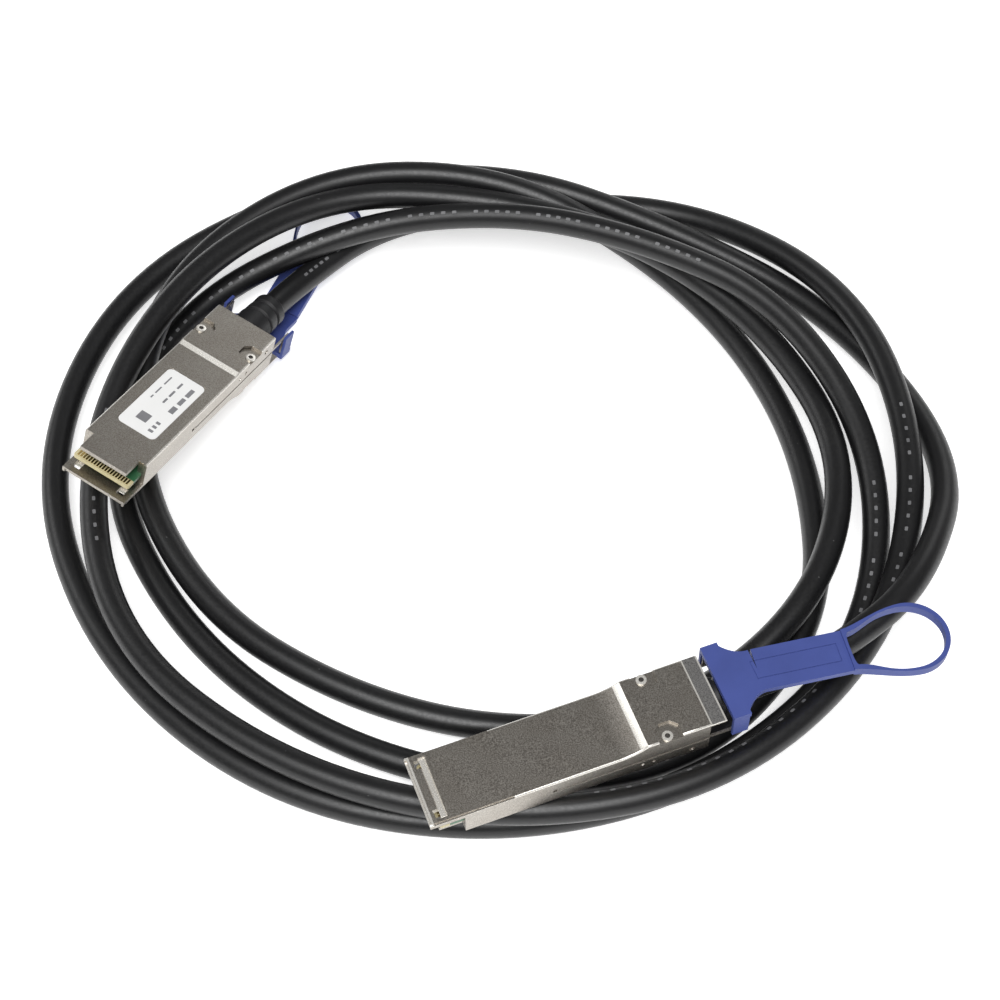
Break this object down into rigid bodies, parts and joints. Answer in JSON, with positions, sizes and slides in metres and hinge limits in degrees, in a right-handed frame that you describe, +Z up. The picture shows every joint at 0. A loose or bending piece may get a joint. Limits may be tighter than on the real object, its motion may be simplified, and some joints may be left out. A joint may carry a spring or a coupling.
{
  "type": "direct attach copper cable",
  "caption": "Black twinax cable laid in a loose round coil, with the same flat metal pluggable connector and blue finger-loop pull tab at each end.",
  "frame": {"origin": "on the floor under the middle of the whole coil", "axes": "+X along the coil's longest extent, +Z up, plug a at -X and plug b at -Y"},
  "size_m": [0.2364, 0.2112, 0.0331],
  "materials": {
    "nickel_shell": "satin nickel-plated zinc casting",
    "card": "solder-masked glass-epoxy board",
    "gold": "gold-plated contact",
    "chip": "black epoxy",
    "hot_melt": "cream hot-melt moulding",
    "wire": "foil-wrapped pair",
    "tinned_steel": "bright tinned",
    "black_moulding": "matt black",
    "stamped_steel": "stamped stainless",
    "blue_tab": "matt periwinkle blue",
    "label": "plain white sticker",
    "cable_jacket": "satin dark grey jacket"
  },
  "bodies": {
    "coil": {"cable": "cable_jacket", "cable_collar_a": "black_moulding", "cable_collar_b": "black_moulding", "core_wires_a": "wire", "core_wires_b": "wire", "edge_contacts_a": "gold", "edge_contacts_b": "gold", "ferrule_a": "tinned_steel", "ferrule_b": "tinned_steel", "label_a": "label", "label_shell_a": "nickel_shell", "label_shell_b": "nickel_shell", "memory_chip_a": "chip", "memory_chip_b": "chip", "paddle_card_a": "card", "paddle_card_b": "card", "shell_rivets_a": "tinned_steel", "shell_rivets_b": "tinned_steel", "tab_shell_a": "nickel_shell", "tab_shell_b": "nickel_shell", "wire_block_a": "hot_melt", "wire_block_b": "hot_melt"},
    "release_a": {"latch_slider_a": "stamped_steel", "pull_tab_a": "blue_tab"},
    "release_b": {"latch_slider_b": "stamped_steel", "pull_tab_b": "blue_tab"}
  },
  "joints": [
    {"name": "pull_a", "type": "slide", "parent": "coil", "child": "release_a", "axis": [0.458, 0.8578, -0.2334], "range_m": [0, 0.002], "stiffness_N_per_m": 1500, "springref_m": -0.0015},
    {"name": "pull_b", "type": "slide", "parent": "coil", "child": "release_b", "axis": [0.9353, 0.3534, 0.0175], "range_m": [0, 0.002], "stiffness_N_per_m": 1500, "springref_m": -0.0015}
  ]
}
